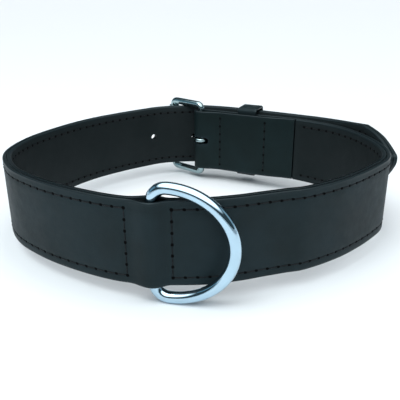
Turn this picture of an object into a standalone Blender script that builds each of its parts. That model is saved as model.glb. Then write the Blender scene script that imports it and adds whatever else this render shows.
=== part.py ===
"""Flat two-layer leather buckle collar with a D-ring at the front, fastened as if round a neck.

Metres, +Z up. The collar stands on the D-ring's lower bend, and the origin is under the middle of
its box. Every length below is in millimetres and is turned into metres when a mesh is made.
The strap's run is laid out in plan, seen from above, starting at the buckle's heel bar.
"""
from math import atan2, cos, pi, radians, sin, tan

import bmesh
import bpy
import numpy as np
from mathutils import Matrix, Vector

MM = 0.001

# Driving dimensions
STRAP_HEIGHT = 45.0
LAYER = 2.3                    # thickness of one layer of leather
GAP = 0.3                      # clear space between pieces that touch
STRAP_DEPTH = 2 * LAYER + GAP
COLUMN_STEP = 5.0              # spacing of the strap's columns of vertices
BASE = 9.76                    # height of the strap's lower edge above the ground
BOX_MIDDLE = (1.07, 43.17)     # plan point that becomes the origin

# Buckle
WIRE = 2.6                     # radius of the frame's wire
FRAME_HEIGHT = 53.0            # between the middles of the two rails
FRAME_LENGTH = 28.0            # from the heel bar to the front bar
FRAME_CORNER = 3.2
FRAME_MIDDLE = 22.3            # height of the frame's middle above the strap's lower edge
FRAME_ANGLE = radians(138.5)   # from the heel bar towards the front bar, in plan
ROLLER_BORE = 2.9
ROLLER_RADIUS = 3.8
ROLLER_LENGTH = 45.9
PRONG = 1.5                    # radius of the prong's wire
PRONG_OVERHANG = 4.5           # how far the prong's tip passes the roller's middle
HEEL = np.array([1.3, 124.9])  # middle of the heel bar
STRAP_ANGLE = radians(-25.0)   # direction in which the strap leaves the heel bar
FOLD_RADIUS = WIRE + GAP + LAYER

# Distances along the strap from the heel bar
FOLD_ROW = 16.6
KEEPER_ROW = 51.2
BUTT = 73.5
KEEPER_MIDDLE = 36.4
ROW_STACK = 2 * LAYER + 2.4    # two layers with the keeper's leather between them

# Keeper loop
KEEPER_WIDTH = 14.5
KEEPER_LEATHER = 1.8
KEEPER_REACH = 10.6            # inside of its outer wall, from the strap's outer face
KEEPER_LOW, KEEPER_HIGH = -0.9, 47.4
KEEPER_CORNER = 3.0

# D-ring
RING_WIRE = 3.1
RING_HALF_HEIGHT = 28.9
RING_DEPTH = 40.2
RING_CORNER = 7.5
RING_MIDDLE = 22.1
RING_ANGLE = radians(-14.0)
RING_PLACE = (-22.5, -55.0)
POCKET_SWELL = RING_WIRE + GAP
POCKET_LEFT, POCKET_RIGHT = 13.2, 9.0

# Stitching
EDGE_TO_ROW = 4.5
THREAD_WIDTH = 0.8
THREAD_DEPTH = 0.3
LEFT_ROW_PLACE = (-36.0, -52.6)
RIGHT_ROW_PLACE = (-13.5, -55.6)

# Billet: holes, point and rise
HOLE_RADIUS = 2.25
HOLE_SPACING = 32.6
HOLES_BEFORE, HOLES_AFTER = 1, 3
PRONG_HOLE = (2.0, 3.3)        # half-height and half-length of the hole the prong has worn
POINT_NOSE = 5.0
POINT_ANGLE = radians(26.0)
POINT_ARCH = 2.2               # how far the point's sides bow out
POINT_REACH = 36.9             # length of those sides along the strap
POINT_CLEARANCE = 6.0          # from the seam's last stitch to the point
THINNEST_POINT = 0.4           # half-height of the very end
PASSING_RISE = 0.9             # how much higher the billet sits as it passes the buckle
SETTLED_RISE = 1.3             # and once it lies on the strap beyond it
POINT_RISE = 14.2              # and how much more it climbs by its point
RISE_RUN = 70.0                # distance before the buckle in which the billet starts to climb
CROSSING = (-6.0, 138.7)       # plan point where the billet passes over the heel bar

# Prong slot in the fold, and how deep the cutters reach
SLOT_LENGTH = 14.0             # between the middles of its round ends
SLOT_RADIUS = PRONG + 1.0
SLOT_END = 7.6                 # its far end, from the heel bar along the strap
SLOT_CUT, PRONG_CUT, HOLE_CUT = 20.0, 24.0, 12.0

# Outer face of the strap in plan, from the heel bar round the neck to the buckle again
NECK_RUN = [
    (22.0, 120.77), (44.3, 110.37), (69.9, 98.4), (92.6, 80.0), (105.3, 58.2), (111.4, 32.0),
    (108.8, 10.5), (97.1, -6.3), (76.4, -26.1), (55.0, -39.9), (43.0, -43.8), (31.0, -47.7),
    (19.0, -51.6), (2.0, -55.0), (-20.5, -55.2), (-32.0, -53.5), (-45.9, -49.2), (-65.5, -39.1),
    (-85.5, -25.2), (-104.5, -5.5), (-115.1, 21.1), (-111.5, 49.5), (-99.1, 75.2), (-82.6, 98.4),
]
# Outer face of the billet, from the buckle over the strap's own start to the billet's point
BILLET_RUN = [
    (-62.5, 116.8), (-39.2, 131.4), (-28.8, 135.6), (-19.0, 137.6), (-8.0, 138.6), (3.0, 138.2),
    (14.0, 134.6), (25.0, 129.8), (36.0, 124.5), (47.0, 118.5), (59.5, 111.5), (73.0, 103.5),
    (85.5, 95.0), (97.0, 84.0), (105.5, 72.0), (111.2, 60.0), (115.6, 46.0), (117.4, 32.0),
    (117.5, 23.5),
]


def unit(angle):
    return np.array([cos(angle), sin(angle)])


ALONG = unit(STRAP_ANGLE)
OUTWARD = unit(STRAP_ANGLE + pi / 2)
START = HEEL + FOLD_RADIUS * OUTWARD
ROD = unit(FRAME_ANGLE)
FRONT_BAR = HEEL + FRAME_LENGTH * ROD


# ---------------------------------------------------------------- the strap's run

def smooth(value):
    """Ease from 0 to 1."""
    value = min(max(value, 0.0), 1.0)
    return value * value * (3 - 2 * value)


def catmull_rom(points, steps=20):
    """Smooth curve through the points, with straight stretches where they lie evenly in line."""
    points = [np.array(p, float) for p in points]
    padded = [2 * points[0] - points[1]] + points + [2 * points[-1] - points[-2]]
    curve = []
    for a, b, c, d in zip(padded, padded[1:], padded[2:], padded[3:]):
        for step in range(steps):
            t = step / steps
            curve.append(0.5 * (2 * b + (c - a) * t + (2 * a - 5 * b + 4 * c - d) * t * t
                                + (3 * b - a - 3 * c + d) * t ** 3))
    return np.array(curve + [points[-1]])


class Run:
    """The strap's outer face in plan, read by distance from the heel bar."""

    def __init__(self, points):
        self.curve = catmull_rom(points)
        lengths = np.linalg.norm(np.diff(self.curve, axis=0), axis=1)
        self.distance = np.concatenate([[0.0], np.cumsum(lengths)])
        tangent = np.gradient(self.curve, self.distance, axis=0)
        self.tangent = tangent / np.linalg.norm(tangent, axis=1)[:, None]
        self.distance -= self.nearest(START)
        self.length = self.distance[-1]

    def at(self, s, outward=0.0):
        """Plan point at distance s, moved outward from the neck."""
        point = np.array([np.interp(s, self.distance, self.curve[:, k]) for k in (0, 1)])
        along = np.array([np.interp(s, self.distance, self.tangent[:, k]) for k in (0, 1)])
        along /= np.linalg.norm(along)
        return point + outward * np.array([-along[1], along[0]])

    def direction(self, s):
        step = self.at(s + 0.5) - self.at(s - 0.5)
        return atan2(step[1], step[0])

    def nearest(self, spot):
        return self.distance[np.argmin(np.linalg.norm(self.curve - np.array(spot), axis=1))]


RUN = Run([START - 22 * ALONG, START] + NECK_RUN + BILLET_RUN)
RING_AT = RUN.nearest(RING_PLACE)
LEFT_ROW_AT = RUN.nearest(LEFT_ROW_PLACE)
RIGHT_ROW_AT = RUN.nearest(RIGHT_ROW_PLACE)
CROSSING_AT = RUN.nearest(CROSSING)


def rise(s):
    """How far the billet has climbed at distance s."""
    passing = PASSING_RISE * smooth((s - CROSSING_AT + RISE_RUN) / (RISE_RUN - 10))
    past = (s - CROSSING_AT) / (RUN.length - CROSSING_AT)
    if past <= 0:
        return passing
    return passing + (SETTLED_RISE - PASSING_RISE) * smooth(past * 5) + POINT_RISE * past ** 6


def half_height(s, inset=0.0):
    """Half the strap's height: full, then narrowing in bowed sides to the rounded point."""
    to_end = RUN.length - s - inset
    nose = POINT_NOSE - inset
    round_part = nose * (1 - sin(POINT_ANGLE))
    if to_end <= round_part:
        return max(nose ** 2 - (nose - max(to_end, 0.0)) ** 2, 0.0) ** 0.5
    along = to_end - round_part
    arch = POINT_ARCH * sin(pi * min(along / POINT_REACH, 1.0))
    sloped = nose * cos(POINT_ANGLE) + along * tan(POINT_ANGLE) + arch
    return min(STRAP_HEIGHT / 2 - inset, sloped)


def swell(s):
    """How far one layer bulges over the ring's bar."""
    reach = POCKET_LEFT if s > RING_AT else POCKET_RIGHT
    apart = abs(s - RING_AT)
    return POCKET_SWELL * (1 + cos(pi * apart / reach)) / 2 if apart < reach else 0.0


def stack(s):
    """Depth of the folded end, from the strap's outer face to the turn-back's neck face."""
    full = 2 * FOLD_RADIUS
    if s < FOLD_ROW:
        return full + (ROW_STACK - full) * smooth(s / FOLD_ROW)
    return ROW_STACK + (STRAP_DEPTH - ROW_STACK) * smooth((s - KEEPER_ROW) / (BUTT - KEEPER_ROW))


def stations(first, last):
    """Distances for the strap's columns: even, closer over the ring's bar and at the point."""
    count = max(2, round((last - first) / COLUMN_STEP))
    places = set(np.round(np.linspace(first, last, count + 1), 3))
    for step in np.linspace(-1, 1, 17):
        over_bar = RING_AT + step * (POCKET_LEFT if step > 0 else POCKET_RIGHT)
        if first < over_bar < last:
            places.add(round(over_bar, 3))
    if last > RUN.length - 1:
        places.update(round(last - d, 3) for d in (0.3, 1.0, 2.2, 4.0))
    ordered = sorted(places)
    return [s for k, s in enumerate(ordered) if k == 0 or s - ordered[k - 1] > 0.25]


# ---------------------------------------------------------------- making objects

def place(x, y, z):
    """A plan point and a height above the strap's lower edge, in the part's frame, in metres."""
    return Vector(((x - BOX_MIDDLE[0]) * MM, (y - BOX_MIDDLE[1]) * MM, (z + BASE) * MM))


def collection(name):
    group = bpy.data.collections.new(name)
    bpy.context.scene.collection.children.link(group)
    return group


def material(name, colour, roughness, metallic=0.0):
    new = bpy.data.materials.new(name)
    new.use_nodes = True
    shader = new.node_tree.nodes["Principled BSDF"]
    shader.inputs["Base Color"].default_value = (*colour, 1.0)
    shader.inputs["Roughness"].default_value = roughness
    shader.inputs["Metallic"].default_value = metallic
    return new


def add_mesh(name, mesh, group, finish=None, axis=None):
    """Add a mesh given in the part's frame, with the object's origin at axis."""
    if axis is not None:
        mesh.transform(Matrix.Translation(-axis))
    obj = bpy.data.objects.new(name, mesh)
    group.objects.link(obj)
    if axis is not None:
        obj.location = axis
    if finish:
        mesh.materials.append(finish)
    return obj


def ribbon(name, columns, closed=False):
    """Open surface from pairs of points, one pair for each column."""
    mesh = bpy.data.meshes.new(name)
    bm = bmesh.new()
    pairs = [(bm.verts.new(low), bm.verts.new(high)) for low, high in columns]
    ends = pairs[1:] + pairs[:1] if closed else pairs[1:]
    for (low, high), (next_low, next_high) in zip(pairs, ends):
        bm.faces.new((low, next_low, next_high, high))
    bm.to_mesh(mesh)
    bm.free()
    return mesh


def thicken(obj, depth, side=1.0):
    """Solidify towards one side of a ribbon: 1 is the right of its direction of travel."""
    shell = obj.modifiers.new("leather", "SOLIDIFY")
    shell.thickness = depth * MM
    shell.offset = side
    shell.use_even_offset = True
    return shell


def cut(obj, cutter):
    cutter.hide_render = True
    cutter.display_type = "WIRE"
    hole = obj.modifiers.new(cutter.name, "BOOLEAN")
    hole.operation = "DIFFERENCE"
    hole.solver = "EXACT"
    hole.object = cutter


def wire(name, points, radius, group, finish, axis, closed, sides=3):
    """Round wire along the points."""
    curve = bpy.data.curves.new(name, "CURVE")
    curve.dimensions = "3D"
    curve.bevel_depth = radius * MM
    curve.bevel_resolution = sides
    curve.use_fill_caps = True
    spline = curve.splines.new("POLY")
    spline.points.add(len(points) - 1)
    spline.use_cyclic_u = closed
    for point, spot in zip(spline.points, points):
        point.co = (*(spot - axis), 1.0)
    obj = bpy.data.objects.new(name, curve)
    obj.location = axis
    curve.materials.append(finish)
    group.objects.link(obj)
    return obj


def arc(centre, radius, first, last, steps):
    """Points on an arc, from angle first to angle last."""
    return [np.array(centre) + radius * unit(first + (last - first) * k / steps)
            for k in range(steps + 1)]


# ---------------------------------------------------------------- leather

def strap_columns(places, outward):
    """Columns of the strap's surface: outward(s) moves it off the run."""
    columns = []
    for s in places:
        x, y = RUN.at(s, outward(s))
        middle = STRAP_HEIGHT / 2 + rise(s)
        half = max(half_height(s), THINNEST_POINT)
        columns.append((place(x, y, middle - half), place(x, y, middle + half)))
    return columns


def full_column(point):
    return place(*point, 0.0), place(*point, STRAP_HEIGHT)


def stadium(name, half_length, radius, depth, group):
    """Cutter with round ends: along X, as high as radius in Z, and depth deep along Y."""
    ends = arc((half_length, 0), radius, -pi / 2, pi / 2, 12)
    ends += arc((-half_length, 0), radius, pi / 2, 3 * pi / 2, 12)
    mesh = bpy.data.meshes.new(name)
    bm = bmesh.new()
    face = bm.faces.new([bm.verts.new((x * MM, depth / 2 * MM, z * MM)) for x, z in ends])
    block = bmesh.ops.extrude_face_region(bm, geom=[face])["geom"]
    moved = [v for v in block if isinstance(v, bmesh.types.BMVert)]
    bmesh.ops.translate(bm, verts=moved, vec=(0, -depth * MM, 0))
    bmesh.ops.recalc_face_normals(bm, faces=bm.faces)
    bm.to_mesh(mesh)
    bm.free()
    obj = bpy.data.objects.new(name, mesh)
    group.objects.link(obj)
    return obj


def set_cutter(obj, point, height, angle):
    obj.location = place(*point, height)
    obj.rotation_euler = (0, 0, angle)
    return obj


def billet_cutters(group):
    """Holes of the billet, with the one in use worn long by the prong."""
    cutters = []
    for k in range(-HOLES_BEFORE, HOLES_AFTER + 1):
        s = CROSSING_AT + k * HOLE_SPACING
        if k == 0:
            high, long = PRONG_HOLE
            worn = stadium("prong_hole_cut", long - high, high, PRONG_CUT, group)
            spot = prong_spot()
            cutters.append(set_cutter(worn, spot, FRAME_MIDDLE, prong_angle() + pi / 2))
            continue
        hole = stadium(f"billet_hole_cut_{k + HOLES_BEFORE}", 0.0, HOLE_RADIUS, HOLE_CUT, group)
        spot = RUN.at(s, -STRAP_DEPTH / 2)
        cutters.append(set_cutter(hole, spot, STRAP_HEIGHT / 2 + rise(s), RUN.direction(s)))
    return cutters


def make_outer_strap(group, cutters, finish):
    """Outer layer: turn-back, fold round the heel bar, then the whole run to the point."""
    back = [full_column(RUN.at(s, -stack(s))) for s in stations(0.0, BUTT)[::-1]]
    fold = arc(HEEL, FOLD_RADIUS, STRAP_ANGLE - pi / 2, STRAP_ANGLE - 3 * pi / 2, 10)
    columns = back + [full_column(p) for p in fold[1:-1]]
    columns += strap_columns(stations(0.0, RUN.length), swell)
    obj = add_mesh("outer_strap", ribbon("outer_strap", columns), group, finish)
    thicken(obj, LAYER)
    slot = stadium("prong_slot_cut", SLOT_LENGTH / 2, SLOT_RADIUS, SLOT_CUT, cutters)
    middle = HEEL + (SLOT_END - SLOT_LENGTH / 2 - SLOT_RADIUS) * ALONG
    cut(obj, set_cutter(slot, middle, FRAME_MIDDLE, STRAP_ANGLE))
    return obj


def make_lining(group, finish):
    """Inner layer, from the butt seam beside the buckle to the billet's point."""
    columns = strap_columns(stations(BUTT + GAP, RUN.length), lambda s: -LAYER - GAP - swell(s))
    obj = add_mesh("lining_strap", ribbon("lining_strap", columns), group, finish)
    thicken(obj, LAYER)
    return obj


def make_keeper(group, finish):
    """Leather loop held between the turn-back's two rows, round the billet."""
    inner = -(LAYER + GAP) - KEEPER_LEATHER
    low, high = KEEPER_LOW - KEEPER_LEATHER, KEEPER_HIGH + KEEPER_LEATHER
    outer = KEEPER_REACH + KEEPER_LEATHER
    r = KEEPER_CORNER
    outline = arc((outer - r, high - r), r, 0, pi / 2, 4)
    outline += arc((inner + r, high - r), r, pi / 2, pi, 4)
    outline += arc((inner + r, low + r), r, pi, 3 * pi / 2, 4)
    outline += arc((outer - r, low + r), r, 3 * pi / 2, 2 * pi, 4)
    edges = [START + (KEEPER_MIDDLE + side * KEEPER_WIDTH / 2) * ALONG for side in (-1, 1)]
    columns = []
    for reach, height in outline:
        columns.append([place(*(edge + reach * OUTWARD), height) for edge in edges])
    axis = place(*(START + KEEPER_MIDDLE * ALONG), STRAP_HEIGHT / 2)
    mesh = ribbon("keeper_loop", columns, closed=True)
    obj = add_mesh("keeper_loop", mesh, group, finish, axis)
    thicken(obj, KEEPER_LEATHER, -1.0)
    return obj


# ---------------------------------------------------------------- metal

def frame_points():
    """Rounded rectangle in the frame's own plane: (reach from the heel bar, height)."""
    corner, front = FRAME_CORNER, FRAME_LENGTH - FRAME_CORNER
    low = FRAME_MIDDLE - FRAME_HEIGHT / 2 + corner
    high = FRAME_MIDDLE + FRAME_HEIGHT / 2 - corner
    corners = [((front, high), 0), ((corner, high), pi / 2), ((corner, low), pi),
               ((front, low), 3 * pi / 2)]
    points = []
    for centre, first in corners:
        points += arc(centre, corner, first, first + pi / 2, 4)
    return points


def make_frame(group, finish):
    points = [place(*(HEEL + reach * ROD), height) for reach, height in frame_points()]
    return wire("buckle_frame", points, WIRE, group, finish, place(*HEEL, FRAME_MIDDLE), True)


def make_roller(group, finish):
    """Tube on the front bar: its wall's profile turned about the bar."""
    half = ROLLER_LENGTH / 2
    profile = [(ROLLER_RADIUS, half), (ROLLER_RADIUS, -half), (ROLLER_BORE, -half),
               (ROLLER_BORE, half)]
    mesh = bpy.data.meshes.new("buckle_roller")
    bm = bmesh.new()
    ring = [bm.verts.new((x * MM, 0, z * MM)) for x, z in profile]
    for k, vert in enumerate(ring):
        bm.edges.new((vert, ring[(k + 1) % len(ring)]))
    bm.to_mesh(mesh)
    bm.free()
    obj = add_mesh("buckle_roller", mesh, group, finish)
    obj.location = place(*FRONT_BAR, FRAME_MIDDLE)
    turn = obj.modifiers.new("turn", "SCREW")
    turn.steps = turn.render_steps = 24
    turn.use_merge_vertices = True
    turn.merge_threshold = 0.00001
    return obj


def prong_angle():
    """Direction of the prong, tangent to its loop and resting just off the roller."""
    loop = WIRE + GAP + PRONG
    rest = ROLLER_RADIUS + GAP + PRONG
    return FRAME_ANGLE - np.arcsin((rest - loop) / FRAME_LENGTH)


def prong_spot():
    """Where the prong passes through the middle of the billet's depth."""
    start = HEEL + (WIRE + GAP + PRONG) * unit(prong_angle() - pi / 2)
    line = [start + reach * unit(prong_angle()) for reach in np.linspace(0, FRAME_LENGTH, 300)]
    middle = [RUN.at(s, -STRAP_DEPTH / 2) for s in np.arange(CROSSING_AT - 20, CROSSING_AT + 20)]
    middle = np.array(middle)
    return min(line, key=lambda p: np.linalg.norm(middle - p, axis=1).min())


def make_prong(group, finish):
    """Wire looped round the heel bar, then straight through the billet and over the roller."""
    angle = prong_angle()
    side = angle - pi / 2
    loop = WIRE + GAP + PRONG
    closing = 2 * np.arcsin((PRONG + GAP) / loop)
    plan = arc(HEEL, loop, side - 2 * pi + closing, side, 18)
    plan.append(plan[-1] + (FRAME_LENGTH + PRONG_OVERHANG) * unit(angle))
    points = [place(*p, FRAME_MIDDLE) for p in plan]
    return wire("buckle_prong", points, PRONG, group, finish, place(*HEEL, FRAME_MIDDLE), False)


def ring_bar():
    return RUN.at(RING_AT, -STRAP_DEPTH / 2)


def make_ring(group, finish):
    """D of round wire: straight bar, two rounded corners and a bow shaped as half an ellipse."""
    half, corner = RING_HALF_HEIGHT, RING_CORNER
    outline = arc((corner, half - corner), corner, pi, pi / 2, 6)
    bow = RING_DEPTH - corner
    for k in range(1, 30):
        turn = pi / 2 - pi * k / 30
        outline.append(np.array([corner + bow * cos(turn), half * sin(turn)]))
    outline += arc((corner, corner - half), corner, 3 * pi / 2, pi, 6)
    bar = ring_bar()
    points = [place(*(bar + reach * unit(RING_ANGLE)), RING_MIDDLE + up) for reach, up in outline]
    return wire("d_ring", points, RING_WIRE, group, finish, place(*bar, RING_MIDDLE), True)


# ---------------------------------------------------------------- stitching

def row_height(s, edge, inset):
    """Height of a row on the strap: edge is 1 along the top and -1 along the bottom."""
    return STRAP_HEIGHT / 2 + rise(s) + edge * half_height(s, inset)


def panel_seam(name, first, last, group, finish):
    """One closed run of thread on the outer face: along both edges and across both ends."""
    half = THREAD_WIDTH / 2
    lift = GAP + THREAD_DEPTH

    def spot(s, height):
        return place(*RUN.at(s, lift + swell(s)), height)

    columns = []
    places = stations(first, last)
    for edge, order in ((1, places), (-1, places[::-1])):
        for s in order:
            outer = min(max(s, first), last)
            inner = min(max(s, first + 2 * half), last - 2 * half)
            high = row_height(outer, edge, EDGE_TO_ROW - half)
            low = row_height(inner, edge, EDGE_TO_ROW + half)
            columns.append((spot(inner, low), spot(outer, high)))
    obj = add_mesh(name, ribbon(name, columns, closed=True), group, finish)
    thicken(obj, THREAD_DEPTH)
    return obj


def cross_row(name, s, group, finish):
    """Row of thread across the turn-back's neck face."""
    columns = []
    for side in (-1, 1):
        x, y = RUN.at(s + side * THREAD_WIDTH / 2, -stack(s) - GAP)
        columns.append((place(x, y, EDGE_TO_ROW), place(x, y, STRAP_HEIGHT - EDGE_TO_ROW)))
    obj = add_mesh(name, ribbon(name, columns), group, finish)
    thicken(obj, THREAD_DEPTH)
    return obj


def clear_scene():
    for obj in list(bpy.data.objects):
        bpy.data.objects.remove(obj)


def main():
    clear_scene()
    parts = collection("buckle_collar")
    cutters = collection("cutters")
    leather = material("strap_leather", (0.020, 0.026, 0.030), 0.45)
    lining = material("lining_leather", (0.014, 0.017, 0.019), 0.6)
    chrome = material("chrome", (0.75, 0.80, 0.84), 0.12, 1.0)
    thread = material("black_thread", (0.010, 0.010, 0.012), 0.8)

    outer = make_outer_strap(parts, cutters, leather)
    inner = make_lining(parts, lining)
    for hole in billet_cutters(cutters):
        cut(outer, hole)
        cut(inner, hole)
    make_keeper(parts, leather)
    make_ring(parts, chrome)
    make_frame(parts, chrome)
    make_roller(parts, chrome)
    make_prong(parts, chrome)
    panel_seam("left_panel_seam", LEFT_ROW_AT, RUN.length - POINT_CLEARANCE, parts, thread)
    panel_seam("right_panel_seam", KEEPER_ROW, RIGHT_ROW_AT, parts, thread)
    cross_row("fold_row_seam", FOLD_ROW, parts, thread)
    cross_row("keeper_row_seam", KEEPER_ROW, parts, thread)


main()
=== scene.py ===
"""Looks of the flat leather buckle collar: leather, stitching and plated metal round the CAD frame.

Lengths are in millimetres in the strap's plan, and are turned into metres as a mesh is made.
"""

from math import atan2, cos, pi, radians, sin, tan

import bmesh
import bpy
import numpy as np
from mathutils import Matrix, Vector


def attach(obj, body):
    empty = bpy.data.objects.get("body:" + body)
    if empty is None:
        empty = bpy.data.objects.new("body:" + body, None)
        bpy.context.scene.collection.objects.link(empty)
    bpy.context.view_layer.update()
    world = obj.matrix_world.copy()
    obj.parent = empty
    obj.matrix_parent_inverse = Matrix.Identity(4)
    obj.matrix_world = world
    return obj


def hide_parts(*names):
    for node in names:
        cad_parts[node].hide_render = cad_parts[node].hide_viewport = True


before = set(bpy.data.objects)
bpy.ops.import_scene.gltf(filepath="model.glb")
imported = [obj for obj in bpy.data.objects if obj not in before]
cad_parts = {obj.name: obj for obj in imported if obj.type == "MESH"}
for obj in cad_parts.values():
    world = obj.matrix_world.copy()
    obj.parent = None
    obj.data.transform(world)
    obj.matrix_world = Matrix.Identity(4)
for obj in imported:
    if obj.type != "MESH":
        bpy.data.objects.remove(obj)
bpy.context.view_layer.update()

MM = 0.001

# The strap, as in the CAD model
STRAP_HEIGHT = 45.0
LAYER = 2.3
GAP = 0.3
STRAP_DEPTH = 2 * LAYER + GAP
BASE = 9.76
BOX_MIDDLE = (1.07, 43.17)
WIRE = 2.6
HEEL = np.array([1.3, 124.9])
STRAP_ANGLE = radians(-25.0)
FOLD_RADIUS = WIRE + GAP + LAYER
FOLD_ROW, KEEPER_ROW, BUTT = 16.6, 51.2, 73.5
ROW_STACK = 2 * LAYER + 2.4
RING_WIRE = 3.1
RING_PLACE = (-22.5, -55.0)
POCKET_SWELL = RING_WIRE + GAP
POCKET_LEFT, POCKET_RIGHT = 13.2, 9.0
LEFT_ROW_PLACE, RIGHT_ROW_PLACE = (-36.0, -52.6), (-13.5, -55.6)
EDGE_TO_ROW = 4.5
HOLE_RADIUS = 2.25
HOLE_SPACING = 32.6
HOLES_BEFORE, HOLES_AFTER = 1, 3
PRONG_HOLE = (2.0, 3.3)
POINT_NOSE, POINT_ANGLE = 5.0, radians(26.0)
POINT_ARCH, POINT_REACH = 2.2, 36.9
PASSING_RISE, SETTLED_RISE, POINT_RISE = 0.9, 1.3, 14.2
RISE_RUN = 70.0                # distance before the buckle in which the billet starts to climb
RISE_SETTLES = 60.0            # and the distance it takes
CROSSING = (-6.0, 138.7)
RUN_BEFORE_HEEL = 22.0         # straight run that steadies the curve where the strap starts
SLOT_LENGTH, SLOT_RADIUS, SLOT_END = 14.0, 2.5, 7.6
SLOT_CUT, PRONG_CUT, HOLE_CUT = 20, 24, 12

NECK_RUN = [
    (22.0, 120.77), (44.3, 110.37), (69.9, 98.4), (92.6, 80.0), (105.3, 58.2), (111.4, 32.0),
    (108.8, 10.5), (97.1, -6.3), (76.4, -26.1), (55.0, -39.9), (43.0, -43.8), (31.0, -47.7),
    (19.0, -51.6), (2.0, -55.0), (-20.5, -55.2), (-32.0, -53.5), (-45.9, -49.2), (-65.5, -39.1),
    (-85.5, -25.2), (-104.5, -5.5), (-115.1, 21.1), (-111.5, 49.5), (-99.1, 75.2), (-82.6, 98.4),
]
BILLET_RUN = [
    (-62.5, 116.8), (-39.2, 131.4), (-28.8, 135.6), (-19.0, 137.6), (-8.0, 138.6), (3.0, 138.2),
    (14.0, 134.6), (25.0, 129.8), (36.0, 124.5), (47.0, 118.5), (59.5, 111.5), (73.0, 103.5),
    (85.5, 95.0), (97.0, 84.0), (105.5, 72.0), (111.2, 60.0), (115.6, 46.0), (117.4, 32.0),
    (117.5, 23.5),
]

# Buckle and ring, as in the CAD model
FRAME_HEIGHT, FRAME_LENGTH, FRAME_CORNER = 53.0, 28.0, 3.2
FRAME_MIDDLE = 22.3
FRAME_ANGLE = radians(138.5)
ROLLER_BORE, ROLLER_RADIUS, ROLLER_LENGTH = 2.9, 3.8, 45.9
PRONG, PRONG_OVERHANG = 1.5, 4.5
RING_HALF_HEIGHT, RING_DEPTH, RING_CORNER = 28.9, 40.2, 7.5
RING_MIDDLE = 22.1
RING_ANGLE = radians(-14.0)
KEEPER_MIDDLE, KEEPER_WIDTH, KEEPER_LEATHER = 36.4, 14.5, 1.8
KEEPER_REACH, KEEPER_LOW, KEEPER_HIGH, KEEPER_CORNER = 10.6, -0.9, 47.4, 3.0

# Fineness and finish of the leather
COLUMN = 1.5                   # spacing of the columns of vertices along the strap
PITCH = 4 * COLUMN             # one stitch
NOSE_COLUMNS = (5, 4, 3, 2.2, 1.5, 0.9, 0.4, 0.1)     # distances of the last columns from the tip
THINNEST_NOSE = 0.45
FULL_HALF, NARROW_HALF = 17.5, 7.0     # half heights under which a section's insets are drawn in
ROUND_OUT = 0.75               # radius of the rounded edge on the face side
ROUND_IN = 0.45                # and where the two layers meet
BUTT_GAP = 1.0                 # open seam where the turn-back meets the lining
GROOVE = 0.22                  # depth of the creased line under each row of stitches
GROOVE_HALF = 0.75             # half its width
DIMPLE = 0.35                  # how much deeper the leather is drawn in at each stitch hole
THREAD = 0.32                  # radius of the thread
SEAM_DEPTH = 0.16              # of the line pressed into the roller
AWL_HOLE = 0.85                # radius of a stitch hole's mouth


def unit(angle):
    return np.array([cos(angle), sin(angle)])


ALONG = unit(STRAP_ANGLE)
OUTWARD = unit(STRAP_ANGLE + pi / 2)
START = HEEL + FOLD_RADIUS * OUTWARD
ROD = unit(FRAME_ANGLE)
FRONT_BAR = HEEL + FRAME_LENGTH * ROD


# ---------------------------------------------------------------- the strap's run

def smooth(value):
    value = min(max(value, 0.0), 1.0)
    return value * value * (3 - 2 * value)


def catmull_rom(points, steps=20):
    points = [np.array(p, float) for p in points]
    padded = [2 * points[0] - points[1]] + points + [2 * points[-1] - points[-2]]
    curve = []
    for a, b, c, d in zip(padded, padded[1:], padded[2:], padded[3:]):
        for step in range(steps):
            t = step / steps
            curve.append(0.5 * (2 * b + (c - a) * t + (2 * a - 5 * b + 4 * c - d) * t * t
                                + (3 * b - a - 3 * c + d) * t ** 3))
    return np.array(curve + [points[-1]])


class Run:
    """The strap's outer face in plan, read by distance from the heel bar."""

    def __init__(self, points):
        self.curve = catmull_rom(points)
        lengths = np.linalg.norm(np.diff(self.curve, axis=0), axis=1)
        self.distance = np.concatenate([[0.0], np.cumsum(lengths)])
        tangent = np.gradient(self.curve, self.distance, axis=0)
        self.tangent = tangent / np.linalg.norm(tangent, axis=1)[:, None]
        self.distance -= self.nearest(START)
        self.length = self.distance[-1]

    def at(self, s, outward=0.0):
        point = np.array([np.interp(s, self.distance, self.curve[:, k]) for k in (0, 1)])
        along = np.array([np.interp(s, self.distance, self.tangent[:, k]) for k in (0, 1)])
        along /= np.linalg.norm(along)
        return point + outward * np.array([-along[1], along[0]])

    def direction(self, s):
        step = self.at(s + 0.5) - self.at(s - 0.5)
        return atan2(step[1], step[0])

    def nearest(self, place):
        return self.distance[np.argmin(np.linalg.norm(self.curve - np.array(place), axis=1))]


RUN = Run([START - RUN_BEFORE_HEEL * ALONG, START] + NECK_RUN + BILLET_RUN)
RING_AT = RUN.nearest(RING_PLACE)
LEFT_ROW_AT = RUN.nearest(LEFT_ROW_PLACE)
RIGHT_ROW_AT = RUN.nearest(RIGHT_ROW_PLACE)
CROSSING_AT = RUN.nearest(CROSSING)


def rise(s):
    """How far the strap's lower edge has climbed."""
    passing = PASSING_RISE * smooth((s - CROSSING_AT + RISE_RUN) / RISE_SETTLES)
    past = (s - CROSSING_AT) / (RUN.length - CROSSING_AT)
    if past <= 0:
        return passing
    return passing + (SETTLED_RISE - PASSING_RISE) * smooth(past * 5) + POINT_RISE * past ** 6


def half_height(s, inset=0.0):
    """Half the strap's height, inset from its edge: full, then narrowing to the rounded point."""
    to_end = RUN.length - s - inset
    nose = POINT_NOSE - inset
    round_part = nose * (1 - sin(POINT_ANGLE))
    if to_end <= round_part:
        return max(nose ** 2 - (nose - max(to_end, 0.0)) ** 2, 0.0) ** 0.5
    along = to_end - round_part
    arch = POINT_ARCH * sin(pi * min(along / POINT_REACH, 1.0))
    sloped = nose * cos(POINT_ANGLE) + along * tan(POINT_ANGLE) + arch
    return min(STRAP_HEIGHT / 2 - inset, sloped)


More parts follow.
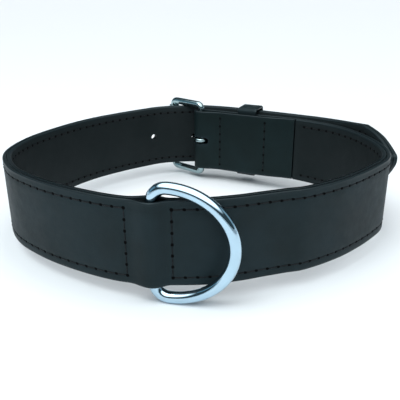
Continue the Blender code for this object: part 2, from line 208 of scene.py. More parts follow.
def swell(s):
    """How far each layer bulges over the ring's bar."""
    reach = POCKET_LEFT if s > RING_AT else POCKET_RIGHT
    apart = abs(s - RING_AT)
    return POCKET_SWELL * (1 + cos(pi * apart / reach)) / 2 if apart < reach else 0.0


def stack(s):
    """Depth from the outer face to the face of the turn-back."""
    full = 2 * FOLD_RADIUS
    if s < FOLD_ROW:
        return full + (ROW_STACK - full) * smooth(s / FOLD_ROW)
    return ROW_STACK + (STRAP_DEPTH - ROW_STACK) * smooth((s - KEEPER_ROW) / (BUTT - KEEPER_ROW))


def place(x, y, z):
    """A plan point and a height above the strap's lower edge, in the frame, in metres."""
    return Vector(((x - BOX_MIDDLE[0]) * MM, (y - BOX_MIDDLE[1]) * MM, (z + BASE) * MM))


def stitch_places(first, last):
    """Distances of the stitch holes of a row, evenly from first to last."""
    count = max(2, round((last - first) / PITCH))
    return np.linspace(first, last, count + 1)


# ---------------------------------------------------------------- materials

class Nodes:
    """Short calls for building a material's node tree."""

    def __init__(self, name):
        self.material = bpy.data.materials.new(name)
        self.material.use_nodes = True
        self.tree = self.material.node_tree
        self.shader = self.tree.nodes["Principled BSDF"]

    def add(self, kind, **settings):
        node = self.tree.nodes.new(kind)
        for key, value in settings.items():
            if key in node.inputs:
                node.inputs[key].default_value = value
            else:
                setattr(node, key, value)
        return node

    def link(self, source, target):
        self.tree.links.new(source, target)

    def set(self, **values):
        for key, value in values.items():
            self.shader.inputs[key.replace("_", " ")].default_value = value

    def coordinates(self):
        return self.add("ShaderNodeTexCoord").outputs["Object"]

    def noise(self, scale, detail=3.0, roughness=0.55):
        node = self.add("ShaderNodeTexNoise")
        node.inputs["Scale"].default_value = scale
        node.inputs["Detail"].default_value = detail
        node.inputs["Roughness"].default_value = roughness
        self.link(self.coordinates(), node.inputs["Vector"])
        return node.outputs["Fac"]

    def ramp(self, source, stops):
        node = self.add("ShaderNodeValToRGB")
        elements = node.color_ramp.elements
        while len(elements) < len(stops):
            elements.new(0.5)
        for element, (at, colour) in zip(elements, stops):
            element.position = at
            element.color = (*colour, 1.0) if len(colour) == 3 else colour
        self.link(source, node.inputs["Fac"])
        return node.outputs["Color"]

    def mix(self, factor, a, b, mode="MIX"):
        node = self.add("ShaderNodeMix", data_type="RGBA", blend_type=mode)
        for socket, value in zip((node.inputs[0], node.inputs[6], node.inputs[7]), (factor, a, b)):
            if isinstance(value, bpy.types.NodeSocket):
                self.link(value, socket)
            else:
                socket.default_value = value
        return node.outputs[2]

    def bump(self, height, strength, distance, below=None):
        node = self.add("ShaderNodeBump")
        node.inputs["Strength"].default_value = strength
        node.inputs["Distance"].default_value = distance
        self.link(height, node.inputs["Height"])
        if below is not None:
            self.link(below, node.inputs["Normal"])
        return node.outputs["Normal"]


TURN_BACK_PAINTED_SHADE = (0.58, 0.74, 0.66, 1.0)       # painted shade on the turned-back leather, which faces the neck side


def grey(value):
    return (value, value, value)


def leather_material(name, dark, light, edge, roughness, grain, shine):
    """Waxed smooth leather: soft mottling, fine pores and creases, painted edges, and painted shade on
    the turn-back.
    """
    n = Nodes(name)
    mottle = n.ramp(n.noise(38.0, 4.0), [(0.32, dark), (0.72, light)])
    worn = n.add("ShaderNodeAttribute", attribute_name="edge").outputs["Fac"]
    turned = n.add("ShaderNodeAttribute", attribute_name="turned").outputs["Fac"]
    # painted shade: the turn-back's tone is multiplied darker where the turned attribute is set
    tone = n.mix(turned, mottle, n.mix(1.0, mottle, TURN_BACK_PAINTED_SHADE, "MULTIPLY"))
    n.link(n.mix(worn, tone, (*edge, 1.0)), n.shader.inputs["Base Color"])
    streaks = n.ramp(n.noise(210.0, 5.0), [(0.3, grey(roughness - 0.04)), (0.7, grey(roughness + 0.05))])
    n.link(n.mix(worn, streaks, (*grey(0.38), 1.0)), n.shader.inputs["Roughness"])
    polish = n.mix(worn, (*grey(shine), 1.0), (*grey(0.3), 1.0))
    n.link(polish, n.shader.inputs["Specular IOR Level"])
    pores = n.add("ShaderNodeTexVoronoi", feature="F1")
    pores.inputs["Scale"].default_value = 1500.0
    n.link(n.coordinates(), pores.inputs["Vector"])
    fine = n.bump(pores.outputs["Distance"], grain, 0.00008)
    creased = n.bump(n.noise(420.0, 6.0, 0.62), grain * 0.9, 0.0002, fine)
    n.link(n.bump(n.noise(60.0, 2.0), 0.12, 0.0006, creased), n.shader.inputs["Normal"])
    n.set(IOR=1.45, Specular_Tint=(0.72, 0.94, 1.0, 1.0))
    return n.material


def thread_material():
    """Waxed black thread: twisted strands catch a little light."""
    n = Nodes("black_thread")
    tone = n.ramp(n.noise(900.0, 3.0), [(0.35, (0.004, 0.005, 0.006)), (0.7, (0.012, 0.015, 0.018))])
    n.link(tone, n.shader.inputs["Base Color"])
    twist = n.add("ShaderNodeTexWave", wave_type="BANDS", bands_direction="DIAGONAL")
    twist.inputs["Scale"].default_value = 700.0
    n.link(n.coordinates(), twist.inputs["Vector"])
    n.link(n.bump(twist.outputs["Fac"], 0.5, 0.0001), n.shader.inputs["Normal"])
    n.set(Roughness=0.6, Specular_IOR_Level=0.16)
    return n.material


def hole_shade_material():
    """The inside of a stitch hole: raw leather, its shadow painted in as a near-black colour."""
    n = Nodes("stitch_hole_shade")
    tone = n.ramp(n.noise(700.0), [(0.3, (0.0008, 0.0009, 0.001)), (0.7, (0.003, 0.003, 0.0035))])
    n.link(tone, n.shader.inputs["Base Color"])
    n.set(Roughness=0.95, Specular_IOR_Level=0.05)
    return n.material


def chrome_material(name, colour, low, high):
    """Nickel-chrome plate: bright, with faint rub marks and slight waviness."""
    n = Nodes(name)
    tint = tuple(0.9 * c for c in colour)
    n.link(n.ramp(n.noise(90.0, 3.0), [(0.3, tint), (0.65, colour)]), n.shader.inputs["Base Color"])
    rubs = n.add("ShaderNodeTexNoise")
    rubs.inputs["Scale"].default_value = 420.0
    rubs.inputs["Detail"].default_value = 6.0
    stretch = n.add("ShaderNodeMapping")
    stretch.inputs["Scale"].default_value = (1.0, 1.0, 0.12)
    n.link(n.coordinates(), stretch.inputs["Vector"])
    n.link(stretch.outputs["Vector"], rubs.inputs["Vector"])
    n.link(n.ramp(rubs.outputs["Fac"], [(0.35, grey(low)), (0.75, grey(high))]),
           n.shader.inputs["Roughness"])
    n.link(n.bump(n.noise(55.0, 2.0), 0.12, 0.0006), n.shader.inputs["Normal"])
    n.set(Metallic=1.0)
    return n.material


LEATHER = leather_material("strap_leather", (0.0068, 0.0112, 0.0126), (0.0096, 0.0178, 0.0218),
                           (0.008, 0.013, 0.0155), 0.54, 0.30, 0.22)
LINING = leather_material("lining_leather", (0.0075, 0.0105, 0.0112), (0.0115, 0.0145, 0.0155),
                          (0.008, 0.013, 0.0155), 0.60, 0.45, 0.17)
THREAD_LOOK = thread_material()
HOLE_SHADE_LOOK = hole_shade_material()
CHROME = chrome_material("ring_chrome", (0.48, 0.65, 0.765), 0.03, 0.09)
PLATE = chrome_material("buckle_plate", (0.34, 0.45, 0.47), 0.10, 0.22)


# ---------------------------------------------------------------- meshes

def add_object(name, mesh, look, body):
    obj = bpy.data.objects.new(name, mesh)
    bpy.context.scene.collection.objects.link(obj)
    mesh.materials.append(look)
    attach(obj, body)
    return obj


def shade(mesh, angle=50.0):
    mesh.shade_smooth()
    mesh.set_sharp_from_angle(angle=radians(angle))


class Layer:
    """One layer of leather, swept along a line of columns with a rounded section."""

    FACE_STEPS = (1.9, 2.75, 3.2, EDGE_TO_ROW, 4.3, 4.75, 5.6, 8.0, 12.0, 17.0)

    def __init__(self, round_top, round_under):
        self.round_top, self.round_under = round_top, round_under

    @staticmethod
    def corner(radius, steps):
        """Points of a quarter round, as (depth from its face, inset from the edge)."""
        turns = [pi / 2 * k / steps for k in range(steps + 1)]
        return [(radius * (1 - cos(turn)), radius * (1 - sin(turn))) for turn in turns]

    @staticmethod
    def reach(inset, half):
        """An inset from the edge, drawn in where the strap narrows to its point."""
        if half > FULL_HALF:
            return inset
        return inset * half / FULL_HALF if inset > NARROW_HALF else inset * min(1.0, half / NARROW_HALF)

    def section(self, half, rows):
        """Closed section as (offset, height, edge share, row share), from the lower outer edge up."""
        narrow = min(1.0, half / NARROW_HALF)
        fade = 0.35
        outer = [(-depth, inset * narrow, 1.0, 0.0) for depth, inset in self.corner(self.round_top, 4)]
        outer = outer[::-1]
        for inset, share in [(self.round_top + fade, 0.45)] + [(inset, 0.0) for inset in self.FACE_STEPS]:
            row = max(0.0, 1 - abs(inset - EDGE_TO_ROW) / GROOVE_HALF) if rows else 0.0
            outer.append((0.0, self.reach(inset, half), share, row))
        rounded = self.corner(self.round_under, 3)
        under = [(depth - LAYER, inset * narrow, 1.0, 0.0) for depth, inset in rounded]
        for inset, share in ((self.round_under + fade, 0.3), (EDGE_TO_ROW, 0.0), (12.0, 0.0)):
            under.append((-LAYER, self.reach(inset, half), share, 0.0))
        loop = [(o, -half + i, e, -r) for o, i, e, r in outer]
        loop += [(o, half - i, e, r) for o, i, e, r in outer[::-1]]
        top_under = [(o, half - i, e, 0.0) for o, i, e, r in under]
        return loop + top_under + [(o, -half + i, e, 0.0) for o, i, e, r in under[::-1]]

    def mesh(self, name, columns):
        """columns: (skin point, outward normal, middle height, half height, has rows, at a hole)."""
        bm = bmesh.new()
        edge_share = bm.verts.layers.float.new("edge")
        rings = []
        for point, normal, middle, half, rows, hole in columns:
            ring = []
            for offset, height, share, row in self.section(half, rows):
                sink = abs(row) * (GROOVE + (DIMPLE if hole else 0.0))
                x, y = point + (offset - sink) * normal
                vert = bm.verts.new(place(x, y, middle + height))
                vert[edge_share] = min(share, 1.0)
                ring.append(vert)
            rings.append(ring)
        count = len(rings[0])
        for ring, after in zip(rings, rings[1:]):
            for k in range(count):
                nxt = (k + 1) % count
                bm.faces.new((ring[k], after[k], after[nxt], ring[nxt]))
        bm.faces.new(rings[0])
        bm.faces.new(rings[-1][::-1])
        bmesh.ops.recalc_face_normals(bm, faces=bm.faces)
        mesh = bpy.data.meshes.new(name)
        bm.to_mesh(mesh)
        bm.free()
        shade(mesh, 60)
        return mesh


def strap_places(first, last):
    """Distances of the columns: every stitch hole falls on one, and the point is finer."""
    marks = [m for m in (first, RIGHT_ROW_AT, LEFT_ROW_AT, last) if first <= m <= last]
    places = []
    for low, high in zip(marks, marks[1:]):
        stitches = max(1, round((high - low) / PITCH))
        places += list(np.linspace(low, high, stitches * 4 + 1)[:-1])
    return [s for s in places if s < last - NOSE_COLUMNS[0]] + [last - d for d in NOSE_COLUMNS]


def has_row(s):
    return s <= RIGHT_ROW_AT + 0.01 or s >= LEFT_ROW_AT - 0.01


def is_hole(s, rows):
    return any(abs(s - hole) < COLUMN / 2 for hole in rows)


def run_columns(places, outward, holes):
    columns = []
    for s in places:
        skin = RUN.at(s, outward(s))
        normal = RUN.at(s, 1.0) - RUN.at(s)
        middle = STRAP_HEIGHT / 2 + rise(s)
        half = max(half_height(s), THINNEST_NOSE)
        columns.append((skin, normal, middle, half, has_row(s), is_hole(s, holes)))
    return columns


def fold_columns():
    """The turn-back on the neck side, then the fold round the heel bar."""
    points = [RUN.at(s, -stack(s)) for s in np.arange(BUTT, 0.5, -COLUMN)]
    last = STRAP_ANGLE - pi / 2
    steps = 18
    points += [HEEL + FOLD_RADIUS * unit(last - pi * k / steps) for k in range(steps)]
    points.append(START)
    columns = []
    for before, point, after in zip([points[0]] + points, points, points[1:] + [points[-1]]):
        along = (after - before) / np.linalg.norm(after - before)
        normal = np.array([-along[1], along[0]])
        columns.append((point, normal, STRAP_HEIGHT / 2, STRAP_HEIGHT / 2, False, False))
    return columns[:-1]


LEFT_HOLES = stitch_places(LEFT_ROW_AT, RUN.length - 6.0)
RIGHT_HOLES = stitch_places(KEEPER_ROW, RIGHT_ROW_AT)


def stadium(name, half_length, radius, depth):
    """Cutter with round ends: along X, as high as radius in Z, and depth deep along Y."""
    steps = 16
    ends = []
    for side in (1, -1):
        middle = np.array((side * half_length, 0))
        ends += [middle + radius * unit(pi * k / steps - side * pi / 2) for k in range(steps + 1)]
    bm = bmesh.new()
    face = bm.faces.new([bm.verts.new((x * MM, depth / 2 * MM, z * MM)) for x, z in ends])
    block = bmesh.ops.extrude_face_region(bm, geom=[face])["geom"]
    moved = [v for v in block if isinstance(v, bmesh.types.BMVert)]
    bmesh.ops.translate(bm, verts=moved, vec=(0, -depth * MM, 0))
    bmesh.ops.remove_doubles(bm, verts=bm.verts, dist=1e-6)
    bmesh.ops.recalc_face_normals(bm, faces=bm.faces)
    mesh = bpy.data.meshes.new(name)
    bm.to_mesh(mesh)
    bm.free()
    obj = bpy.data.objects.new(name, mesh)
    bpy.context.scene.collection.objects.link(obj)
    obj.hide_render = True
    return obj


def prong_angle():
    """The prong's direction in plan, its tip lying on the roller."""
    lift = ROLLER_RADIUS - WIRE
    return FRAME_ANGLE - np.arcsin(lift / FRAME_LENGTH)


def prong_spot():
    """Where the prong passes through the middle of the billet's depth."""
    start = HEEL + (WIRE + GAP + PRONG) * unit(prong_angle() - pi / 2)
    line = [start + reach * unit(prong_angle()) for reach in np.linspace(0, FRAME_LENGTH, 300)]
    near = np.arange(CROSSING_AT - 20, CROSSING_AT + 20)
    middle = np.array([RUN.at(s, -STRAP_DEPTH / 2) for s in near])
    return min(line, key=lambda p: np.linalg.norm(middle - p, axis=1).min())


def cutter_list():
    """Cutters for the billet's holes: the worn one that the prong is in, and the round ones."""
    radius, reach = PRONG_HOLE
    worn = stadium("prong_hole_cut", reach - radius, radius, PRONG_CUT)
    worn.location = place(*prong_spot(), FRAME_MIDDLE)
    worn.rotation_euler = (0, 0, prong_angle() + pi / 2)
    cutters = [worn]
    for k in range(-HOLES_BEFORE, HOLES_AFTER + 1):
        if k == 0:
            continue
        s = CROSSING_AT + k * HOLE_SPACING
        hole = stadium(f"billet_hole_cut_{k + HOLES_BEFORE}", 0.0, HOLE_RADIUS, HOLE_CUT)
        hole.location = place(*RUN.at(s, -STRAP_DEPTH / 2), STRAP_HEIGHT / 2 + rise(s))
        hole.rotation_euler = (0, 0, RUN.direction(s))
        cutters.append(hole)
    return cutters


def slot_cutter():
    """The long slot in the fold, which lets the prong through."""
    slot = stadium("prong_slot_cut", SLOT_LENGTH / 2, SLOT_RADIUS, SLOT_CUT)
    middle = SLOT_END - SLOT_LENGTH / 2 - SLOT_RADIUS
    slot.location = place(*(HEEL + middle * ALONG), FRAME_MIDDLE)
    slot.rotation_euler = (0, 0, STRAP_ANGLE)
    return slot


def cut_holes(obj, cutters):
    for cutter in cutters:
        hole = obj.modifiers.new(cutter.name, "BOOLEAN")
        hole.operation = "DIFFERENCE"
        hole.solver = "EXACT"
        hole.object = cutter
    bpy.context.view_layer.update()
    evaluated = obj.evaluated_get(bpy.context.evaluated_depsgraph_get())
    mesh = bpy.data.meshes.new_from_object(evaluated, preserve_all_data_layers=True,
                                           depsgraph=bpy.context.evaluated_depsgraph_get())
    obj.modifiers.clear()
    obj.data = mesh
    shade(mesh, 40)


def mark_turned(mesh, share):
    """Tells the material which of the first vertices belong to the turn-back, where it paints shade."""
    last = share * len(mesh.vertices)
    marks = [1.0 if k < last else 0.0 for k in range(len(mesh.vertices))]
    mesh.attributes.new("turned", "FLOAT", "POINT").data.foreach_set("value", marks)


def make_straps():
    """Both layers, each swept along the run and then pierced."""
    cutters = cutter_list()
    holes = list(LEFT_HOLES) + list(RIGHT_HOLES)
    fold = fold_columns()
    columns = fold + run_columns(strap_places(0.0, RUN.length), swell, holes)
    outer_mesh = Layer(ROUND_OUT, ROUND_IN).mesh("outer_leather", columns)
    mark_turned(outer_mesh, len(fold) / len(columns))
    outer = add_object("outer_leather", outer_mesh, LEATHER, "strap")
    slot = slot_cutter()
    cut_holes(outer, cutters + [slot])
    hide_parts("outer_strap")

    def under(s):
        return -LAYER - GAP - swell(s)
    columns = run_columns(strap_places(BUTT + BUTT_GAP, RUN.length), under, [])
    columns = [(p, n, m, h, False, False) for p, n, m, h, _, _ in columns]
    lining_mesh = Layer(ROUND_IN, ROUND_OUT).mesh("lining_leather", columns)
    lining = add_object("lining_leather", lining_mesh, LINING, "strap")
    cut_holes(lining, cutters)
    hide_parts("lining_strap")
    for cutter in cutters + [slot]:
        bpy.data.objects.remove(cutter)


# ---------------------------------------------------------------- stitching

# A stitch from hole to hole: (share of the way, height off the leather)
THREAD_COURSE = ((0.06, -0.55), (0.16, -0.12), (0.34, 0.05), (0.5, 0.08), (0.66, 0.05), (0.84, -0.12),
                 (0.94, -0.55))
# The mouth of a hole, a disc of painted shade: (share of its radius, height off the leather)
AWL_RINGS = ((1.0, -0.25), (1.0, 0.03), (0.62, 0.09), (0.2, 0.11))


def thread_line(bm, points, radius, sides=6):
    """A short round thread through the points, tapering where it dives into the leather."""
    rings = []
    points = [Vector(p) for p in points]
    for k, point in enumerate(points):
        before, after = points[max(k - 1, 0)], points[min(k + 1, len(points) - 1)]
        along = (after - before).normalized()
        side = along.cross(Vector((0, 0, 1)))
        if side.length < 0.3:
            side = along.cross(Vector((1, 0, 0)))
        side.normalize()
        up = along.cross(side)
        share = 0.6 if k in (0, len(points) - 1) else 1.0
        rings.append([bm.verts.new(point + radius * share * (cos(2 * pi * j / sides) * side
                                                             + sin(2 * pi * j / sides) * up))
                      for j in range(sides)])
    for ring, nxt in zip(rings, rings[1:]):
        for j in range(sides):
            bm.faces.new((ring[j], ring[(j + 1) % sides], nxt[(j + 1) % sides], nxt[j]))
    bm.faces.new(rings[0][::-1])
    bm.faces.new(rings[-1])


def hole_shade_disc(bm, centre, normal, along):
    """The mouth of one stitch hole, dark with painted shade: a low dome lying in the leather's dimple."""
    up = normal.cross(along)
    rings = []
    for radius, lift in AWL_RINGS:
        rings.append([bm.verts.new(centre + MM * (normal * lift + AWL_HOLE * radius
                                                  * (1.15 * cos(pi * j / 5) * along
                                                     + 0.95 * sin(pi * j / 5) * up)))
                      for j in range(10)])
    for ring, nxt in zip(rings, rings[1:]):
        for j in range(10):
            bm.faces.new((ring[j], ring[(j + 1) % 10], nxt[(j + 1) % 10], nxt[j]))
    bm.faces.new(rings[-1])
    bm.faces.new(rings[0][::-1])


def row_height(s, edge, inset):
    return STRAP_HEIGHT / 2 + rise(s) + edge * half_height(s, inset)


def surface_spot(s, height, lift, face):
    """A point lift millimetres off the strap: face is outer, lining or turn_back."""
    if face == "outer":
        return place(*RUN.at(s, swell(s) + lift), height)
    if face == "lining":
        return place(*RUN.at(s, -STRAP_DEPTH - swell(s) - lift), height)
    return place(*RUN.at(s, -stack(s) - lift), height)


def stitch_line(bm_thread, bm_hole_shade, spots, face, sunk):
    """Stitches through a line of holes, given as (distance, height)."""
    for k, (s, height) in enumerate(spots):
        centre = surface_spot(s, height, -sunk, face)
        normal = (surface_spot(s, height, 1.0, face) - surface_spot(s, height, 0.0, face)).normalized()
        ahead = spots[k + 1] if k + 1 < len(spots) else spots[k - 1]
        along = surface_spot(*ahead, 0, face) - surface_spot(s, height, 0, face)
        along = (along - along.project(normal)).normalized()
        hole_shade_disc(bm_hole_shade, centre, normal, along)
    for (s, height), (s_next, height_next) in zip(spots, spots[1:]):
        points = []
        for share, lift in THREAD_COURSE:
            at = s + (s_next - s) * share
            up = height + (height_next - height) * share
            points.append(surface_spot(at, up, lift - sunk * 0.75, face))
        thread_line(bm_thread, points, THREAD * MM)


def panel_lines(holes, first_closes):
    """A panel's row along the top and along the bottom, and its row across the end."""
    top = [(s, row_height(s, 1, EDGE_TO_ROW)) for s in holes]
    bottom = [(s, row_height(s, -1, EDGE_TO_ROW)) for s in holes]
    end = holes[0] if first_closes else holes[-1]
    low, high = row_height(end, -1, EDGE_TO_ROW), row_height(end, 1, EDGE_TO_ROW)
    across = [(end, h) for h in np.linspace(low, high, round((high - low) / PITCH) + 1)]
    return [top, bottom], across


def finish_stitches(name, bm_thread, bm_hole_shade, node):
    for suffix, bm, look in (("stitches", bm_thread, THREAD_LOOK), ("painted_hole_shade", bm_hole_shade, HOLE_SHADE_LOOK)):
        mesh = bpy.data.meshes.new(f"{name}_{suffix}")
        bm.to_mesh(mesh)
        bm.free()
        shade(mesh, 70)
        piece = add_object(f"{name}_{suffix}", mesh, look, "strap")
        if suffix == "stitches":
            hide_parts(node)


def make_panel_stitches(name, holes, first_closes, node):
    bm_thread, bm_hole_shade = bmesh.new(), bmesh.new()
    edges, across = panel_lines(holes, first_closes)
    for line in edges:
        stitch_line(bm_thread, bm_hole_shade, line, "outer", GROOVE)
    stitch_line(bm_thread, bm_hole_shade, across, "outer", 0.0)
    for line in edges + [across]:
        seen = [spot for spot in line if spot[0] > BUTT + 3]
        if len(seen) > 1:
            stitch_line(bm_thread, bm_hole_shade, seen, "lining", 0.0)
    finish_stitches(name, bm_thread, bm_hole_shade, node)


def make_cross_row(name, s, node):
    bm_thread, bm_hole_shade = bmesh.new(), bmesh.new()
    low, high = EDGE_TO_ROW, STRAP_HEIGHT - EDGE_TO_ROW
    heights = np.linspace(low, high, round((high - low) / PITCH) + 1)
    stitch_line(bm_thread, bm_hole_shade, [(s, h) for h in heights], "turn_back", 0.0)
    finish_stitches(name, bm_thread, bm_hole_shade, node)


# ---------------------------------------------------------------- keeper and metal

def swept_loop(name, rings, edges=None):
    """Closed body from closed rings of points, with an edge share for each point of a ring."""
    bm = bmesh.new()
    edge = bm.verts.layers.float.new("edge")
    made = [[bm.verts.new(p) for p in ring] for ring in rings]
    count = len(made[0])
    for ring, nxt in zip(made, made[1:] + made[:1]):
        for k in range(count):
            after = (k + 1) % count
            bm.faces.new((ring[k], nxt[k], nxt[after], ring[after]))
            ring[k][edge] = edges[k] if edges else 0.0
    bmesh.ops.recalc_face_normals(bm, faces=bm.faces)
    mesh = bpy.data.meshes.new(name)
    bm.to_mesh(mesh)
    bm.free()
    shade(mesh, 60)
    return mesh


def keeper_section():
    """Section of the keeper's leather: (along the strap, depth from its face, edge share)."""
    half, soft = KEEPER_WIDTH / 2, 0.8
    section = []
    corners = [(1, -soft), (-1, -soft), (-1, soft - KEEPER_LEATHER), (1, soft - KEEPER_LEATHER)]
    for quarter, (side, depth) in enumerate(corners):
        centre = np.array((side * (half - soft), depth))
        for k in range(5):
            along, across = centre + soft * unit(pi / 2 * (quarter + k / 4))
            section.append((along, across, 1.0))
        if quarter in (0, 2):
            face = 0.0 if quarter == 0 else -KEEPER_LEATHER
            section += [(side * along, face, 0.0) for along in (half - 1.1, 3.0, -3.0, 1.1 - half)]
    return section


def make_keeper():
    """Leather loop with rounded edges."""
    inner = -(LAYER + GAP) - KEEPER_LEATHER
    outer = KEEPER_REACH + KEEPER_LEATHER
    low, high = KEEPER_LOW - KEEPER_LEATHER, KEEPER_HIGH + KEEPER_LEATHER
    r = KEEPER_CORNER
    corners = [((outer - r, high - r), 0), ((inner + r, high - r), pi / 2),
               ((inner + r, low + r), pi), ((outer - r, low + r), 3 * pi / 2)]
    path = []
    for centre, first in corners:
        for k in range(9):
            turn = first + pi / 2 * k / 8
            path.append((np.array(centre) + r * unit(turn), unit(turn)))
    section = keeper_section()
    centre = START + KEEPER_MIDDLE * ALONG
    rings = []
    for (reach, height), out in path:
        ring = []
        for along, depth, _ in section:
            plan = centre + along * ALONG + (reach + depth * out[0]) * OUTWARD
            ring.append(place(*plan, height + depth * out[1]))
        rings.append(ring)
    mesh = swept_loop("keeper_leather", rings, [edge for _, _, edge in section])
    keeper = add_object("keeper_leather", mesh, LEATHER, "keeper")
    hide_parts("keeper_loop")


def wire(name, points, radius, look, body, closed, radii=None):
    curve = bpy.data.curves.new(name, "CURVE")
    curve.dimensions = "3D"
    curve.bevel_depth = radius * MM
    curve.bevel_resolution = 7
    curve.use_fill_caps = True
    spline = curve.splines.new("POLY")
    spline.points.add(len(points) - 1)
    spline.use_cyclic_u = closed
    for k, (point, spot) in enumerate(zip(spline.points, points)):
        point.co = (*spot, 1.0)
        point.radius = radii[k] if radii else 1.0
    spline.use_smooth = True
    curve.materials.append(look)
    obj = bpy.data.objects.new(name, curve)
    bpy.context.scene.collection.objects.link(obj)
    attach(obj, body)
    return obj


def make_ring():
    """Straight bar, two round corners and a bow of half an ellipse."""
    half, corner = RING_HALF_HEIGHT, RING_CORNER
    bar = RUN.at(RING_AT, -STRAP_DEPTH / 2)
    outline = [np.array((0.0, -half + corner + (2 * half - 2 * corner) * k / 12)) for k in range(13)]
    for k in range(1, 25):
        turn = pi - pi / 2 * k / 24
        outline.append(np.array((corner, half - corner)) + corner * unit(turn))
    bow = RING_DEPTH - corner
    for k in range(1, 120):
        turn = pi / 2 - pi * k / 120
        outline.append(np.array((corner + bow * cos(turn), half * sin(turn))))
    for k in range(24):
        turn = 3 * pi / 2 - pi / 2 * k / 24
        outline.append(np.array((corner, corner - half)) + corner * unit(turn))
    points = [place(*(bar + reach * unit(RING_ANGLE)), RING_MIDDLE + up) for reach, up in outline]
    ring = wire("lead_ring", points, RING_WIRE, CHROME, "ring", True)
    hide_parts("d_ring")


def make_buckle():
    """Wire frame with round corners, with its roller and prong."""
    half, corner = FRAME_HEIGHT / 2, FRAME_CORNER
    outline = []
    corners = [((FRAME_LENGTH - corner, half - corner), 0), ((corner, half - corner), pi / 2),
               ((corner, corner - half), pi), ((FRAME_LENGTH - corner, corner - half), 3 * pi / 2)]
    for centre, first in corners:
        for k in range(13):
            outline.append(np.array(centre) + corner * unit(first + pi / 2 * k / 12))
    points = [place(*(HEEL + reach * ROD), FRAME_MIDDLE + up) for reach, up in outline]
    frame_wire = wire("buckle_wire_frame", points, WIRE, PLATE, "frame", True)
    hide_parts("buckle_frame")
    make_roller()
    make_prong()


def make_roller():
    """Rolled tube with softened ends, with a fine seam line pressed into its wall."""
    half, soft, steps = ROLLER_LENGTH / 2, 0.35, 64
    ends = [(ROLLER_RADIUS - soft + soft * cos(pi * k / 8), half - soft + soft * sin(pi * k / 8))
            for k in range(5)]
    profile = [(r, -z) for r, z in ends] + [(ROLLER_BORE, -half), (ROLLER_BORE, half)] + ends[::-1]
    rings = []
    for k in range(steps):
        turn = 2 * pi * k / steps
        seam = SEAM_DEPTH if k == 0 else 0.0
        ring = []
        for r, z in profile:
            reach = r - (seam if r > ROLLER_RADIUS - soft - 0.01 else 0.0)
            x, y = FRONT_BAR + reach * unit(turn + radians(20))
            ring.append(place(x, y, FRAME_MIDDLE + z))
        rings.append(ring)
    mesh = swept_loop("roller_tube", rings)
    mesh.attributes.remove(mesh.attributes["edge"])
    roller = add_object("roller_tube", mesh, PLATE, "roller")
    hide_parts("buckle_roller")


def make_prong():
    """Looped wire whose tip is hammered thinner."""
    angle, loop = prong_angle(), WIRE + GAP + PRONG
    side = angle - pi / 2
    closing = 2 * np.arcsin((PRONG + GAP) / loop)
    first = side - 2 * pi + closing
    plan = [HEEL + loop * unit(first + (side - first) * k / 40) for k in range(41)]
    reach = FRAME_LENGTH + PRONG_OVERHANG
    straight = [plan[-1] + reach * share * unit(angle) for share in np.linspace(0.05, 1.0, 24)]
    points = [place(*p, FRAME_MIDDLE) for p in plan + straight]
    radii = [1.0] * (len(points) - 8) + [0.99, 0.97, 0.94, 0.9, 0.85, 0.78, 0.66, 0.45]
    prong = wire("prong_wire", points, PRONG, PLATE, "prong", False, radii)
    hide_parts("buckle_prong")


# ---------------------------------------------------------------- stage

# World colours by closeness to the middle of the ceiling, which leans towards the front
CEILING_MIDDLE = (0.0, -0.26, 0.966)
WALLS_TO_CEILING = ((0.60, (0.02, 0.03, 0.033)), (0.68, (0.4, 0.45, 0.48)), (0.74, (1.0, 1.0, 1.0)))
CEILING_STRENGTH = 2.3


def make_floor():
    """A pale floor, with a low pale wall far off all round it."""
    n = Nodes("studio_paint")
    n.set(Base_Color=(0.76, 0.80, 0.83, 1.0), Roughness=0.9, Specular_IOR_Level=0.1)
    bpy.ops.mesh.primitive_plane_add(size=30.0)
    floor = bpy.context.object
    floor.name = "studio_floor"
    bpy.ops.mesh.primitive_cylinder_add(vertices=96, radius=13.0, depth=1.8, end_fill_type="NOTHING",
                                        location=(0, 0, 0.7))
    wall = bpy.context.object
    wall.name = "studio_wall"
    for piece in (floor, wall):
        piece.data.materials.append(n.material)


def area_light(name, location, target, size, power, colour=(1, 1, 1)):
    light = bpy.data.lights.new(name, "AREA")
    light.shape = "RECTANGLE"
    light.size, light.size_y = size
    light.energy = power
    light.color = colour
    obj = bpy.data.objects.new(name, light)
    obj.location = location
    aim = Vector(target) - Vector(location)
    obj.rotation_euler = aim.to_track_quat("-Z", "Y").to_euler()
    bpy.context.scene.collection.objects.link(obj)


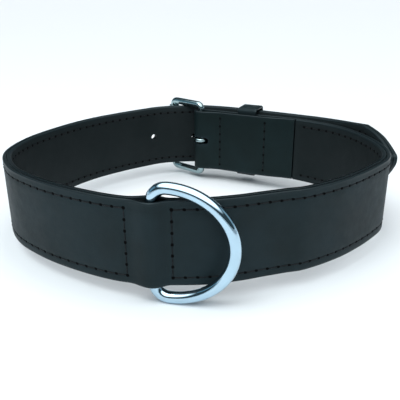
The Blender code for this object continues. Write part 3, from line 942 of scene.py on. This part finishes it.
def make_world():
    """A bright ceiling over darker walls, so that plated metal has something to mirror."""
    world = bpy.data.worlds.new("studio")
    bpy.context.scene.world = world
    world.use_nodes = True
    tree = world.node_tree
    direction = tree.nodes.new("ShaderNodeTexCoord")
    height = tree.nodes.new("ShaderNodeVectorMath")
    height.operation = "DOT_PRODUCT"
    height.inputs[1].default_value = CEILING_MIDDLE
    ramp = tree.nodes.new("ShaderNodeValToRGB")
    tree.links.new(direction.outputs["Generated"], height.inputs[0])
    tree.links.new(height.outputs["Value"], ramp.inputs["Fac"])
    tree.links.new(ramp.outputs["Color"], tree.nodes["Background"].inputs["Color"])
    elements = ramp.color_ramp.elements
    elements.new(0.5)
    for element, (at, colour) in zip(elements, WALLS_TO_CEILING):
        element.position = at
        element.color = (*colour, 1.0)
    tree.nodes["Background"].inputs["Strength"].default_value = CEILING_STRENGTH


def make_lights():
    """One large soft key from the front, and a faint panel at each side."""
    middle = (0.0, 0.0, 0.03)
    area_light("key_softbox", (-0.25, -0.45, 0.9), middle, (0.5, 0.35), 3.2, (0.90, 0.99, 1.0))
    area_light("left_panel_light", (-0.85, 0.0, 0.35), middle, (0.5, 0.5), 0.25, (0.4, 0.78, 1.0))
    area_light("right_panel_light", (0.85, 0.05, 0.35), middle, (0.5, 0.5), 0.35, (0.6, 0.85, 1.0))


CAMERA_PLACE = (0.0, -291.19, 142.65)
CAMERA_TURN, CAMERA_TILT, CAMERA_ROLL = radians(0.26), radians(67.6), radians(-0.41)


def make_camera():
    camera = bpy.data.cameras.new("camera")
    camera.sensor_width = 36.0
    camera.lens = 50.02
    camera.shift_x = 0.0063
    camera.clip_start = 0.01
    obj = bpy.data.objects.new("camera", camera)
    turned = Matrix.Rotation(CAMERA_TURN, 4, "Z") @ Matrix.Rotation(CAMERA_TILT, 4, "X")
    rolled = turned @ Matrix.Rotation(CAMERA_ROLL, 4, "Z")
    obj.matrix_world = Matrix.Translation(place(*CAMERA_PLACE)) @ rolled
    bpy.context.scene.collection.objects.link(obj)
    bpy.context.scene.camera = obj
    bpy.context.scene.view_settings.view_transform = "Standard"


make_camera()
make_straps()
make_panel_stitches("left_panel", LEFT_HOLES, True, "left_panel_seam")
make_panel_stitches("right_panel", RIGHT_HOLES, False, "right_panel_seam")
make_cross_row("fold_row", FOLD_ROW, "fold_row_seam")
make_cross_row("keeper_row", KEEPER_ROW, "keeper_row_seam")
make_keeper()
make_ring()
make_buckle()
make_floor()
make_world()
make_lights()
